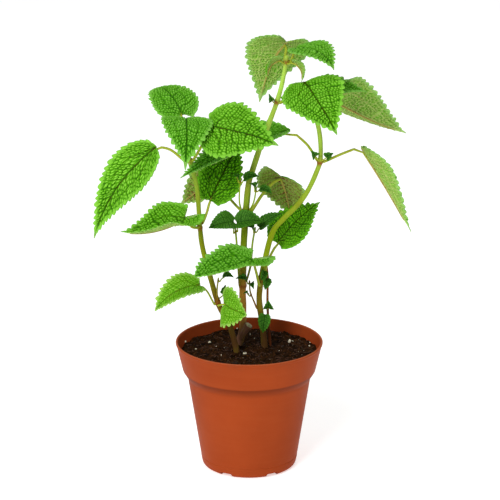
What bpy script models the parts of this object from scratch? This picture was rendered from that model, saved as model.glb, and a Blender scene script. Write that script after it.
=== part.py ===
"""A potted pilea: a thin plastic nursery pot with a rolled rim, a shoulder and a notched
foot, full of potting soil, with three main stems and one thin one. Every stem, side shoot
and leaf is a piece of its own. Metres, Z up, origin on the pot's axis at the floor."""

import math

import bmesh
import bpy
from mathutils import Matrix, Vector

MM = 0.001
CLEARANCE = 0.3 * MM  # air left between two pieces that touch

POT_HEIGHT = 93.5 * MM
RIM_RADIUS = 53.0 * MM
WALL = 1.1 * MM
LIP = 0.6 * MM  # how far the rolled lip stands out from the collar
LIP_HEIGHT = 1.8 * MM
COLLAR_HEIGHT = 22.0 * MM
COLLAR_TAPER = 4.6 * MM
SHOULDER_HEIGHT = 5.0 * MM
SHOULDER_STEP = 3.6 * MM
BODY_TAPER = 9.4 * MM
FOOT_ROUNDING = 3.0 * MM
FOOT_WIDTH = 3.6 * MM
FLOOR_HEIGHT = 3.2 * MM  # underside of the floor above the ground
NOTCHES = 6
NOTCH_WIDTH = 9.5 * MM
NOTCH_HEIGHT = 2.6 * MM
DRAIN_RADIUS = 3.2 * MM
ROUND_STEPS = 60

SOIL_BELOW_RIM = 7.0 * MM
SOCKET_DEPTH = 6.0 * MM  # how deep a stem stands in the soil

PLANT_SCALE = 1.0
PLANT_SHIFT = -0.8 * MM  # the plant stands a little left of the pot's axis
LEAF_THICKNESS = 0.8 * MM
PETIOLE_RADIUS = 1.0 * MM

SOIL_TOP = POT_HEIGHT - SOIL_BELOW_RIM
COLLAR_RADIUS = RIM_RADIUS - LIP
COLLAR_FOOT_RADIUS = COLLAR_RADIUS - COLLAR_TAPER
COLLAR_FOOT = POT_HEIGHT - COLLAR_HEIGHT
BODY_TOP = COLLAR_FOOT - SHOULDER_HEIGHT
BODY_RADIUS = COLLAR_FOOT_RADIUS - SHOULDER_STEP
BASE_RADIUS = BODY_RADIUS - BODY_TAPER
FOOT_RADIUS = BASE_RADIUS - FOOT_ROUNDING
FLOOR_TOP = FLOOR_HEIGHT + WALL

for old in list(bpy.data.objects):
    bpy.data.objects.remove(old)

plant = bpy.data.collections.new("potted_pilea")
bpy.context.scene.collection.children.link(plant)
tools = bpy.data.collections.new("cutters")
bpy.context.scene.collection.children.link(tools)


def material(name, colour, roughness):
    made = bpy.data.materials.new(name)
    made.use_nodes = True
    shader = made.node_tree.nodes["Principled BSDF"]
    shader.inputs["Base Color"].default_value = (*colour, 1.0)
    shader.inputs["Roughness"].default_value = roughness
    shader.inputs["Metallic"].default_value = 0.0
    made.diffuse_color = (*colour, 1.0)
    return made


TERRACOTTA = material("terracotta_plastic", (0.46, 0.085, 0.025), 0.45)
POTTING_SOIL = material("potting_soil", (0.012, 0.007, 0.004), 0.95)
OLIVE_STEM = material("olive_stem", (0.22, 0.26, 0.02), 0.5)
BROWN_STEM = material("brown_stem", (0.24, 0.12, 0.03), 0.55)
RED_STEM = material("red_stem", (0.20, 0.05, 0.015), 0.5)
BRIGHT_LEAF = material("bright_leaf", (0.11, 0.43, 0.02), 0.5)
PALE_LEAF = material("pale_leaf", (0.22, 0.42, 0.09), 0.55)
DARK_LEAF = material("dark_leaf", (0.03, 0.13, 0.02), 0.5)


def place(x, y, z):
    """A spot on the plant, in millimetres from the middle of the soil's surface."""
    return Vector((x, y, z)) * MM * PLANT_SCALE + Vector((PLANT_SHIFT, 0, SOIL_TOP))


def add(name, mesh, surface, collection=plant):
    made = bpy.data.objects.new(name, mesh)
    mesh.materials.clear()
    mesh.materials.append(surface)
    collection.objects.link(made)
    return made


def apply_modifiers(thing):
    """The object's mesh with its modifiers worked out, put in place of the old one."""
    shape = thing.evaluated_get(bpy.context.evaluated_depsgraph_get())
    mesh = bpy.data.meshes.new_from_object(shape)
    thing.modifiers.clear()
    thing.data = mesh
    return thing


def combine(thing, other, operation):
    step = thing.modifiers.new(operation.lower(), "BOOLEAN")
    step.operation = operation
    step.solver = "EXACT"
    step.object = other
    other.hide_render = True
    other.display_type = "WIRE"
    apply_modifiers(thing)


def turned(name, outline, surface):
    """A round piece from its (radius, height) outline, which runs down the outer side."""
    shape = bmesh.new()
    spots = [shape.verts.new((radius, 0, height)) for radius, height in outline]
    for above, below in zip(spots, spots[1:]):
        shape.edges.new((above, below))
    mesh = bpy.data.meshes.new(name)
    shape.to_mesh(mesh)
    shape.free()
    made = add(name, mesh, surface)
    spin = made.modifiers.new("spin", "SCREW")
    spin.steps = ROUND_STEPS
    spin.render_steps = ROUND_STEPS
    spin.use_merge_vertices = True
    spin.merge_threshold = 0.00005
    spin.use_smooth_shade = True
    return apply_modifiers(made)


def cutter(name, mesh_maker):
    shape = bmesh.new()
    mesh_maker(shape)
    mesh = bpy.data.meshes.new(name)
    shape.to_mesh(mesh)
    shape.free()
    return add(name, mesh, TERRACOTTA, tools)


# The pot. Its wall is one thin skin that steps in under the collar; the floor stands on a
# foot ring which is open at the notches, with a drain hole inside each notch.
pot_outline = [
    (0, FLOOR_TOP),
    (BASE_RADIUS - WALL, FLOOR_TOP),
    (BODY_RADIUS - WALL, BODY_TOP + WALL / 2),
    (COLLAR_FOOT_RADIUS - WALL, COLLAR_FOOT + WALL / 2),
    (COLLAR_RADIUS - WALL, POT_HEIGHT - LIP / 2),
    (COLLAR_RADIUS - WALL / 2, POT_HEIGHT),
    (RIM_RADIUS - LIP / 3, POT_HEIGHT - LIP / 3),
    (RIM_RADIUS, POT_HEIGHT - LIP_HEIGHT / 2),
    (RIM_RADIUS - LIP / 3, POT_HEIGHT - LIP_HEIGHT),
    (COLLAR_RADIUS - LIP / 3, POT_HEIGHT - LIP_HEIGHT - LIP),
    (COLLAR_FOOT_RADIUS, COLLAR_FOOT + WALL),
    (COLLAR_FOOT_RADIUS - WALL / 2, COLLAR_FOOT),
    (BODY_RADIUS, BODY_TOP),
    (BASE_RADIUS, 2 * FOOT_ROUNDING),
    (BASE_RADIUS - FOOT_ROUNDING / 3, FOOT_ROUNDING / 2),
    (FOOT_RADIUS, 0),
    (FOOT_RADIUS - FOOT_WIDTH, 0),
    (FOOT_RADIUS - FOOT_WIDTH - WALL, FLOOR_HEIGHT),
    (0, FLOOR_HEIGHT),
]
pot = turned("pot", pot_outline, TERRACOTTA)

for i in range(NOTCHES):
    angle = math.radians(360 / NOTCHES * (i + 0.5) - 90)
    turn = Matrix.Rotation(angle, 4, "Z")
    reach = 2 * (FOOT_WIDTH + FOOT_ROUNDING)
    size = Matrix.Diagonal((reach, NOTCH_WIDTH, 2 * NOTCH_HEIGHT, 1))
    out = Matrix.Translation((FOOT_RADIUS - FOOT_WIDTH / 4, 0, 0))
    notch = cutter(
        f"foot_notch_{i + 1}",
        lambda shape: bmesh.ops.create_cube(shape, size=1, matrix=turn @ out @ size),
    )
    combine(pot, notch, "DIFFERENCE")
    well = Matrix.Translation((FOOT_RADIUS - FOOT_WIDTH - 2 * DRAIN_RADIUS, 0, FLOOR_HEIGHT))
    drain = cutter(
        f"drain_{i + 1}",
        lambda shape: bmesh.ops.create_cone(
            shape,
            cap_ends=True,
            segments=12,
            radius1=DRAIN_RADIUS,
            radius2=DRAIN_RADIUS,
            depth=6 * WALL,
            matrix=turn @ well,
        ),
    )
    combine(pot, drain, "DIFFERENCE")

# The soil fills the pot from the floor to just below the rim and keeps clear of the wall.
lean = (COLLAR_RADIUS - COLLAR_FOOT_RADIUS) / COLLAR_HEIGHT
soil_radius = COLLAR_RADIUS - WALL - lean * SOIL_BELOW_RIM - CLEARANCE
soil_outline = [
    (0, SOIL_TOP),
    (soil_radius - 1.2 * MM, SOIL_TOP),
    (soil_radius, SOIL_TOP - 1.2 * MM),
    (COLLAR_FOOT_RADIUS - WALL - CLEARANCE, COLLAR_FOOT + WALL / 2 + CLEARANCE),
    (BODY_RADIUS - WALL - 2 * CLEARANCE, BODY_TOP + WALL / 2 + CLEARANCE),
    (BASE_RADIUS - WALL - 2 * CLEARANCE, FLOOR_TOP + CLEARANCE),
    (0, FLOOR_TOP + CLEARANCE),
]
soil = turned("soil", soil_outline, POTTING_SOIL)


def smooth_path(spots, steps=3):
    """The same path with `steps` shorter pieces between each pair of spots."""
    ends = [2 * spots[0] - spots[1], *spots, 2 * spots[-1] - spots[-2]]
    path = []
    for before, start, stop, after in zip(ends, ends[1:], ends[2:], ends[3:]):
        for i in range(steps):
            t = i / steps
            path.append(
                0.5
                * (
                    2 * start
                    + (stop - before) * t
                    + (2 * before - 5 * start + 4 * stop - after) * t**2
                    + (3 * start - before - 3 * stop + after) * t**3
                )
            )
    return [*path, spots[-1]]


def tube(name, path, thick, thin, surface, collection=plant, sides=2):
    """A round rod along a path, from radius `thick` at its start to `thin` at its end."""
    curve = bpy.data.curves.new(name, "CURVE")
    curve.dimensions = "3D"
    curve.bevel_depth = 1.0
    curve.bevel_resolution = sides
    curve.use_fill_caps = True
    line = curve.splines.new("POLY")
    line.points.add(len(path) - 1)
    for i, (point, spot) in enumerate(zip(line.points, path)):
        point.co = (*spot, 1)
        point.radius = thick + (thin - thick) * i / (len(path) - 1)
    rod = bpy.data.objects.new(name + "_path", curve)
    tools.objects.link(rod)
    bpy.context.view_layer.update()
    shape = rod.evaluated_get(bpy.context.evaluated_depsgraph_get())
    mesh = bpy.data.meshes.new_from_object(shape)
    bpy.data.objects.remove(rod)
    whole = bmesh.new()
    whole.from_mesh(mesh)
    bmesh.ops.remove_doubles(whole, verts=whole.verts, dist=0.01 * MM)
    bmesh.ops.recalc_face_normals(whole, faces=whole.faces)
    for face in whole.faces:
        face.smooth = True
    whole.to_mesh(mesh)
    whole.free()
    mesh.name = name
    return add(name, mesh, surface, collection)


grown = {}  # centre line and end radii of every stem and shoot, for what grows from it


def stem(name, spots, thick, thin, surface, steps=2, sides=2):
    path = smooth_path([place(*spot) for spot in spots], steps)
    made = tube(name, path, thick, thin, surface, sides=sides)
    grown[name] = (path, thick, thin)
    return made


def spot_on(name, height, heading, reach=0.0):
    """A point beside the stem at a height above the soil, `reach` clear of its skin."""
    path, thick, thin = grown[name]
    level = place(0, 0, height).z
    for i, (low, high) in enumerate(zip(path, path[1:])):
        if high.z >= level or i == len(path) - 2:
            share = min(max((level - low.z) / (high.z - low.z), 0), 1)
            along = (high - low).normalized()
            centre = low.lerp(high, share)
            radius = thick + (thin - thick) * (i + share) / (len(path) - 1)
            break
    out = Vector(heading)
    out = (out - out.dot(along) * along).normalized()
    return centre + out * (1.1 * radius + CLEARANCE + reach)


def blade(name, base, tip, face, width, arch, peak, fold, point, lobe, bow, surface, grid):
    """A leaf blade: heart-shaped at the base, pointed at the tip, folded along its midrib."""
    start = place(*base)
    stop = place(*tip)
    chord = stop - start
    ahead = chord.normalized()
    up = Vector(face)
    up = (up - up.dot(ahead) * ahead).normalized()
    side = ahead.cross(up)
    scale = MM * PLANT_SCALE
    bend = start + peak * chord + 2 * scale * (arch * up + bow * side)
    shape = bmesh.new()
    bmesh.ops.create_grid(shape, x_segments=grid[0], y_segments=grid[1], size=0.5)
    slope = math.tan(math.radians(fold))
    for vertex in shape.verts:
        u = vertex.co.x + 0.5
        v = 2 * vertex.co.y
        middle = (1 - u) ** 2 * start + 2 * u * (1 - u) * bend + u**2 * stop
        tangent = ((1 - u) * (bend - start) + u * (stop - bend)).normalized()
        across = tangent.cross(up).normalized()
        lift = across.cross(tangent)
        if u < 0.32:
            share = (1 - (1 - (u + 0.05) / 0.37) ** 2.2) ** 0.75
        else:
            share = (1 - min((u - 0.32) / 0.7, 1) ** 1.5) ** point
        half = width / 2 * share * v
        rise = abs(half) * slope
        back = (lobe[0] if v < 0 else lobe[1]) * abs(v) ** 1.4 * (1 - u) ** 3
        flat = 1 / math.sqrt(1 + slope * slope)
        vertex.co = middle + scale * (half * flat * across + rise * flat * lift - back * tangent)
    mesh = bpy.data.meshes.new(name)
    shape.to_mesh(mesh)
    shape.free()
    made = add(name, mesh, surface)
    skin = made.modifiers.new("thickness", "SOLIDIFY")
    skin.thickness = LEAF_THICKNESS
    skin.offset = 0
    return apply_modifiers(made), start.lerp(bend, 0.16)


def shoot(name, parent, height, heading, spots, thick, surface):
    """A thin side shoot that starts beside its parent stem."""
    foot = spot_on(parent, height, heading)
    knee = spot_on(parent, height, heading, reach=thick)
    path = smooth_path([foot, knee, *[place(*spot) for spot in spots]], 2)
    made = tube(name, path, thick, 0.7 * thick, surface, sides=1)
    grown[name] = (path, thick, 0.7 * thick)
    return made


def leaf(
    name, stem_name, height, heading, via, base, tip, face, width, surface, arch=4, peak=0.5,
    fold=10, point=1.35, lobe=(4, 4), bow=0, stalk=PETIOLE_RADIUS, grid=(7, 4), sides=1,
):
    """A blade joined to its own stalk, whose foot stands beside the stem it grows from."""
    made, inside = blade(
        name, base, tip, face, width, arch, peak, fold, point, lobe, bow, surface, grid
    )
    foot = spot_on(stem_name, height, heading, reach=0.25 * stalk)
    knee = spot_on(stem_name, height, heading, reach=2 * stalk)
    spots = [foot, knee, *[place(*spot) for spot in via], place(*base), inside]
    stalk_rod = tube(
        name + "_stalk", smooth_path(spots, 2), stalk, 0.75 * stalk, surface, tools, sides
    )
    combine(made, stalk_rod, "UNION")
    return made


stem(
    "stem_left",
    [(-8, -7, -6), (-8, -7, 0), (-13, -7, 20), (-21, -6, 36), (-26, -5, 53), (-32, -5, 77),
     (-34, -5, 93), (-36, -6, 122), (-41, -7, 143), (-44, -6, 161), (-46, -5, 171)],
    2.3 * MM, 1.3 * MM, OLIVE_STEM,
)
stem(
    "stem_centre",
    [(-7, 8, -6), (-7, 8, 0), (-4, 9, 14), (-4, 9, 43), (-3, 10, 80), (0, 9, 119), (3, 9, 131),
     (9, 8, 150), (15, 7, 167), (20, 6, 181), (24, 5, 196), (27, 4, 214)],
    2.9 * MM, 1.4 * MM, OLIVE_STEM,
)
stem(
    "stem_right",
    [(12, 3, -6), (12, 3, 0), (10, 2, 20), (8, 0, 40), (11, 0, 62), (17, 0, 87), (25, 0, 98),
     (35, 1, 108), (42, 1, 118), (48, 2, 131), (51, 2, 142), (50, 2, 161), (44, 0, 184)],
    2.4 * MM, 1.5 * MM, OLIVE_STEM,
)
stem(
    "stem_thin",
    [(16, 9, -6), (16, 9, 0), (15, 8, 13), (14, 7, 32), (14, 8, 52), (13, 9, 62)],
    1.1 * MM, 0.8 * MM, RED_STEM, sides=1,
)

for name in ("stem_left", "stem_centre", "stem_right", "stem_thin"):
    centre = grown[name][0][0]
    room = grown[name][1] + CLEARANCE
    socket = cutter(
        name + "_socket",
        lambda shape: bmesh.ops.create_cone(
            shape,
            cap_ends=True,
            segments=12,
            radius1=1.06 * room,
            radius2=1.5 * room,
            depth=2 * SOCKET_DEPTH,
            matrix=Matrix.Translation((centre.x, centre.y, SOIL_TOP - CLEARANCE)),
        ),
    )
    combine(soil, socket, "DIFFERENCE")

# The woody base of the centre stem ends in the stub of an older, cut-off shoot.
stub_spots = [place(-6, 8, 3), place(-4, 6, 15), place(-2, 5, 24)]
stub = tube("cut_stub", smooth_path(stub_spots, 2), 1.9 * MM, 2.6 * MM, BROWN_STEM, tools)
combine(bpy.data.objects["stem_centre"], stub, "UNION")

shoot("shoot_left", "stem_left", 40, (0.3, -1, 0), [(-22, -12, 49), (-21, -13, 58)],
      0.7 * MM, OLIVE_STEM)
shoot("shoot_low", "stem_right", 31, (-0.9, 0.5, 0), [(4, 3, 36), (1.5, 3, 43), (1, 3, 51)],
      0.7 * MM, BROWN_STEM)
shoot("shoot_front", "stem_centre", 47, (-0.8, -0.8, 0), [(-7, 4, 62), (-8, 2, 78), (-9, 0, 91)],
      0.9 * MM, OLIVE_STEM)
shoot("shoot_middle", "stem_centre", 50, (1, -0.4, 0), [(2, 8, 62), (3, 8, 76), (5, 8, 89)],
      0.9 * MM, OLIVE_STEM)
shoot("axil_shoot_left", "stem_centre", 100, (-1, -0.8, 0), [(-6, 5, 108), (-6, 4, 118), (-5, 3, 127)],
      0.7 * MM, OLIVE_STEM)
shoot("axil_shoot_right", "stem_centre", 101, (1, -0.9, 0), [(4, 5, 109), (6, 5, 120)],
      0.7 * MM, OLIVE_STEM)

# Leaves on the left stem.
leaf("leaf_left_upper", "stem_left", 143, (-1, -0.2, 0), [(-54, -10, 151)], (-64, -12, 154),
     (-110, 5, 82), (-0.35, -0.85, 0.3), 33, BRIGHT_LEAF, arch=5, bow=5, fold=8, lobe=(2, 2))
leaf("leaf_middle_front", "stem_left", 143, (1, -0.6, 0), [(-31, -16, 158)], (-27, -18, 170),
     (21, -36, 161), (0.1, -0.75, 0.65), 46, BRIGHT_LEAF, arch=4, fold=-4, lobe=(7, 7))
leaf("leaf_left_top_front", "stem_left", 168, (0.3, -1, 0), [], (-43, -10, 174),
     (-43, -42, 145), (0.1, -0.6, 0.8), 36, BRIGHT_LEAF, arch=9, peak=0.35, fold=5)
leaf("leaf_left_top_back", "stem_left", 169, (-0.3, 1, 0), [], (-47, 2, 176),
     (-64, 38, 178), (0.2, -0.5, 0.8), 34, BRIGHT_LEAF, arch=13, fold=-5, point=1)
leaf("leaf_left_lower", "stem_left", 94, (-0.7, -1, 0), [(-40, -12, 97)], (-42, -14, 100),
     (-89, -24, 96), (0, -0.1, 1), 40, BRIGHT_LEAF, arch=-3, fold=38, lobe=(16, 0))
leaf("leaf_middle_dark", "stem_left", 96, (0.8, 0.9, 0), [(-29, 1, 103)], (-27, 2, 111),
     (-6, 38, 146), (0.15, -0.75, 0.65), 31, BRIGHT_LEAF, arch=3, fold=5)
leaf("leaf_left_small", "stem_left", 38, (-1, -0.6, 0), [(-29, -10, 47)], (-34, -12, 53),
     (-66, -20, 36), (-0.1, -0.62, 0.78), 23, BRIGHT_LEAF, arch=8, fold=25, point=0.9,
     stalk=0.7 * MM)
leaf("leaf_front_small", "stem_left", 36, (0.1, -1, 0), [], (-17, -13, 39),
     (-1, -30, 36), (-0.6, -0.75, 0.2), 30, BRIGHT_LEAF, arch=2, fold=15, point=0.9,
     stalk=0.8 * MM)

# Leaves on the centre stem.
leaf("leaf_left_behind", "stem_centre", 101, (-1, 0.4, 0), [(-11, 16, 103)], (-17, 19, 109),
     (-50, 29, 104), (0.3, 0.9, 0.3), 30, PALE_LEAF, arch=2, fold=12)
leaf("leaf_centre_hanging", "stem_centre", 101, (1, 0.4, 0), [(11, 18, 112)], (23, 22, 124),
     (37, 42, 89), (-0.6, 0.7, 0.1), 38, PALE_LEAF, arch=4, fold=28, lobe=(13, 3),
     stalk=1.2 * MM)
leaf("leaf_right_middle", "stem_centre", 182, (1, 0.3, 0), [(31, 9, 186)], (44, 10, 190),
     (86, 14, 188), (0, -0.4, 0.9), 32, BRIGHT_LEAF, arch=4, fold=5)
leaf("leaf_top_left", "stem_centre", 211, (-0.3, 1, 0), [], (28, 13, 221),
     (8, 34, 175), (-0.15, 0.86, 0.5), 46, PALE_LEAF, arch=9, fold=5, lobe=(11, 11))
leaf("leaf_top_right", "stem_centre", 211, (1, -0.1, 0), [], (35, -3, 220),
     (60, -27, 213), (0.2, -0.3, 0.93), 36, BRIGHT_LEAF, arch=7, fold=5)
leaf("young_leaf_left", "stem_centre", 210, (-1, -0.7, 0), [], (22, 0, 213),
     (13, -7, 202), (-0.5, -0.4, 0.8), 14, DARK_LEAF, arch=4, fold=15, stalk=0.7 * MM, grid=(5, 4))
leaf("young_leaf_right", "stem_centre", 210, (1, -1, 0), [], (32, -4, 212),
     (36, -9, 199), (0.6, -0.4, 0.7), 14, DARK_LEAF, arch=4, fold=15, stalk=0.7 * MM, grid=(5, 4))

# Leaves on the right stem.
leaf("leaf_front_low", "stem_right", 50, (-0.3, -1, 0), [(6, -8, 60)], (4, -13, 67),
     (-36, -36, 62), (0.1, -0.2, 1), 40, BRIGHT_LEAF, arch=-2, fold=33, point=0.8,
     lobe=(16, 0))
leaf("leaf_right_low", "stem_right", 52, (0.3, 1, 0), [(15, 8, 66)], (21, 14, 76),
     (52, 34, 101), (-0.35, -0.6, 0.75), 28, BRIGHT_LEAF, arch=3, fold=8)
leaf("leaf_middle_cross", "stem_right", 140, (-0.7, 0.7, 0), [(42, 16, 148)], (30, 33, 155),
     (-47, -25, 134), (0, 0.05, 1), 30, BRIGHT_LEAF, arch=-3, fold=30, bow=8)
leaf("leaf_right_hanging", "stem_right", 140, (1, 0.2, 0), [(66, 4, 145)], (81, 6, 147),
     (115, -16, 93), (0.86, 0.1, 0.51), 32, PALE_LEAF, arch=1, fold=42)
leaf("leaf_right_front", "stem_right", 181, (-0.4, -1, 0), [], (39, -6, 199),
     (61, -38, 169), (-0.05, -0.75, 0.65), 44, BRIGHT_LEAF, arch=5, fold=5)
leaf("leaf_right_back", "stem_right", 181, (0.7, 0.9, 0), [(49, 14, 184)], (54, 28, 182),
     (114, 48, 149), (0.1, 0.8, 0.6), 48, PALE_LEAF, arch=-3, fold=35, lobe=(6, 6))


def small_leaf(name, stem_name, height, heading, base, tip, face, width, arch=1.5):
    leaf(name, stem_name, height, heading, [], base, tip, face, width, DARK_LEAF, arch=arch,
         fold=12, lobe=(1, 1), stalk=0.55 * MM, grid=(4, 4))


# Small leaves of the side shoots and in the leaf axils.
small_leaf("shoot_left_leaf", "shoot_left", 56, (1, -0.5, 0), (-18, -14, 59), (-10, -17, 60),
           (0, -0.5, 0.9), 7)
small_leaf("shoot_left_leaf_low", "stem_left", 40, (0.9, 0.4, 0), (-17, -4, 43), (-16, -3, 50),
           (-0.3, -0.9, 0.2), 5)
small_leaf("shoot_low_leaf_left", "shoot_low", 49, (-1, -0.4, 0), (-1, 2, 52), (-9, -1, 54),
           (0, -0.6, 0.8), 6)
small_leaf("shoot_low_leaf_right", "shoot_low", 49, (0.2, -1, 0), (1.5, 0, 50), (4, -4, 47),
           (0, -0.6, 0.8), 5)
small_leaf("shoot_low_leaf_tiny", "shoot_low", 40, (-1, 0, 0), (0, 3, 41), (-3.5, 1, 42),
           (0, -0.6, 0.8), 3, arch=0.5)
small_leaf("shoot_front_leaf_left", "shoot_front", 88, (-1, -0.2, 0), (-12, -1, 93),
           (-27, -6, 95), (0.1, -0.6, 0.8), 13)
small_leaf("shoot_front_leaf_right", "shoot_front", 89, (1, -0.4, 0), (-6, -2, 93),
           (11, 0, 94), (0, -0.6, 0.8), 14, arch=3)
small_leaf("shoot_middle_leaf_left", "shoot_middle", 86, (-0.4, -1, 0), (4, 4, 89), (-1, 1, 92),
           (0, -0.6, 0.8), 7)
small_leaf("shoot_middle_leaf_right", "shoot_middle", 86, (1, 0.1, 0), (8, 9, 89), (25, 12, 99),
           (-0.3, -0.6, 0.7), 11)
small_leaf("axil_left_leaf_left", "axil_shoot_left", 124, (-1, -0.4, 0), (-7, 2, 127),
           (-11, 0, 130), (0, -0.6, 0.8), 5, arch=1)
small_leaf("axil_left_leaf_right", "axil_shoot_left", 124, (1, -0.7, 0), (-3, 1, 127),
           (8, 1, 129), (0, -0.6, 0.8), 8)
small_leaf("axil_right_leaf_left", "axil_shoot_right", 117, (-0.8, -1, 0), (5, 2, 120),
           (1, 0, 124), (0, -0.6, 0.8), 6, arch=1)
small_leaf("axil_right_leaf_right", "axil_shoot_right", 117, (1, -0.2, 0), (8.5, 4.5, 119),
           (17, 4, 115), (0, -0.6, 0.8), 7)
small_leaf("stem_right_leaf_upper", "stem_right", 60, (0.5, -1, 0), (12, -5, 61),
           (9, -6.5, 54), (0.2, -1, 0.3), 6)
small_leaf("stem_right_leaf_lower", "stem_right", 54, (1, -0.5, 0), (13.5, -3.5, 55),
           (12, -6, 47), (0.2, -1, 0.3), 7)
small_leaf("stem_thin_leaf", "stem_thin", 29, (0.2, -1, 0), (14.5, 3.5, 30),
           (14.5, 1.5, 37), (0, -1, 0.3), 8)
small_leaf("stem_right_leaf_base", "stem_right", 27, (0.5, -1, 0), (12, -4, 28),
           (10.5, -7, 15), (0, -1, 0.3), 10)
small_leaf("node_right_leaf_left", "stem_right", 141, (-0.7, -1, 0), (47.5, -1, 144),
           (44, -4, 149), (-0.2, -0.8, 0.5), 7)
small_leaf("node_right_leaf_right", "stem_right", 141, (0.9, -1, 0), (55, -1, 143),
           (60, -3, 147), (0.2, -0.8, 0.5), 7)
small_leaf("node_centre_leaf_left", "stem_centre", 181, (-1, -0.6, 0), (17, 3, 183),
           (14.5, 0, 189), (-0.2, -0.8, 0.5), 5)
small_leaf("node_centre_leaf_right", "stem_centre", 182, (0.9, -1, 0), (24, 2, 184),
           (27.5, 0, 187), (0.2, -0.8, 0.5), 4, arch=1)
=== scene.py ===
import itertools
import math

import bmesh
import bpy
import numpy as np
from mathutils import Euler, Matrix, Vector, noise


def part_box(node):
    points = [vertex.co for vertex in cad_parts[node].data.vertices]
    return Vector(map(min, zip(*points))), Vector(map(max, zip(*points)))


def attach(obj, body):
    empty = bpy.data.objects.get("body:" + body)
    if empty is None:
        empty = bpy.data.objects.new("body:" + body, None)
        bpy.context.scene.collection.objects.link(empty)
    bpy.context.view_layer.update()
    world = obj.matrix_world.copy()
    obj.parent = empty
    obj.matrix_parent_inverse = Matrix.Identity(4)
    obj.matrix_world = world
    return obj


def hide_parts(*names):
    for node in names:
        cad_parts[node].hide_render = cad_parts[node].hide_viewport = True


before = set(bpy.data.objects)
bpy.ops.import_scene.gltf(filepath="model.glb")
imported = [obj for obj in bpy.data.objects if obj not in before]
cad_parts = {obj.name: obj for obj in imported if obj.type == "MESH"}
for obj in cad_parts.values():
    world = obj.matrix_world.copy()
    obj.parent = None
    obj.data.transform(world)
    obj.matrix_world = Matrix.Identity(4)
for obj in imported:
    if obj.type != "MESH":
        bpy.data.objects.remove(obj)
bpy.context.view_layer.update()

MM = 0.001

# The studio: a plain white table, an even white room and one large soft lamp that stands
# to the left in front of the plant, with weaker ones on the right and behind.
view = bpy.context.scene.view_settings
view.view_transform = "Standard"
view.look = "None"

camera = bpy.data.objects.new("camera", bpy.data.cameras.new("camera"))
camera.data.lens = 169.96
camera.data.clip_end = 50
camera.location = (0.000576, -1.6074, 0.6498)
camera.rotation_euler = (math.radians(73.1), 0, 0)
bpy.context.scene.collection.objects.link(camera)
bpy.context.scene.camera = camera

ROOM_LIGHT = 0.36
world = bpy.data.worlds.new("room")
world.use_nodes = True
bpy.context.scene.world = world
room = world.node_tree
seen = room.nodes.new("ShaderNodeBackground")
seen.inputs["Color"].default_value = (1, 1, 1, 1)
felt = room.nodes["Background"]
felt.inputs["Color"].default_value = (1, 1, 1, 1)
felt.inputs["Strength"].default_value = ROOM_LIGHT
ray = room.nodes.new("ShaderNodeLightPath")
either = room.nodes.new("ShaderNodeMixShader")
room.links.new(ray.outputs["Is Camera Ray"], either.inputs[0])
room.links.new(felt.outputs[0], either.inputs[1])
room.links.new(seen.outputs[0], either.inputs[2])
room.links.new(either.outputs[0], room.nodes["World Output"].inputs[0])

for name, spot, aim, size, watts in (
    ("lamp_left", (-0.62, -1.35, 1.2), (0, 0, 0.15), 0.7, 21),
    ("lamp_right", (1.1, -0.5, 1.2), (0, 0, 0.15), 0.9, 1.2),
    ("lamp_back", (0.2, 1.3, 1.3), (0, 0, 0.15), 0.9, 5),
):
    lamp = bpy.data.lights.new(name, "AREA")
    lamp.size = size
    lamp.energy = watts
    holder = bpy.data.objects.new(name, lamp)
    holder.location = spot
    holder.rotation_euler = (Vector(aim) - Vector(spot)).to_track_quat("-Z", "Y").to_euler()
    bpy.context.scene.collection.objects.link(holder)

table = bmesh.new()
bmesh.ops.create_grid(table, x_segments=2, y_segments=2, size=8)
table_mesh = bpy.data.meshes.new("table")
table.to_mesh(table_mesh)
table.free()
table_top = bpy.data.objects.new("table", table_mesh)
table_top.location.z = -0.0002
bpy.context.scene.collection.objects.link(table_top)
white = bpy.data.materials.new("white_table")
white.use_nodes = True
white_paint = white.node_tree.nodes["Principled BSDF"]
white_paint.inputs["Base Color"].default_value = (0.9, 0.9, 0.9, 1)
white_paint.inputs["Roughness"].default_value = 0.9
white_paint.inputs["Emission Color"].default_value = (1, 1, 1, 1)
white_paint.inputs["Emission Strength"].default_value = 0.55
table_mesh.materials.append(white)


# The pot: a thin nursery pot of terracotta-coloured polypropylene, moulded in one piece,
# with a rolled lip, a deep collar, a ledge under it and a foot ring with six notches.
def piece(name, shape, surfaces, slot, *stands_for):
    """The finished object: smooth, on the plant's one body, in place of its CAD nodes."""
    mesh = bpy.data.meshes.new(name)
    bmesh.ops.recalc_face_normals(shape, faces=shape.faces)
    for face in shape.faces:
        face.smooth = True
    shape.to_mesh(mesh)
    shape.free()
    for surface in surfaces:
        mesh.materials.append(surface)
    made = bpy.data.objects.new(name, mesh)
    bpy.context.scene.collection.objects.link(made)
    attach(made, "root")
    if stands_for:
        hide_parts(*stands_for)
    return made


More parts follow.
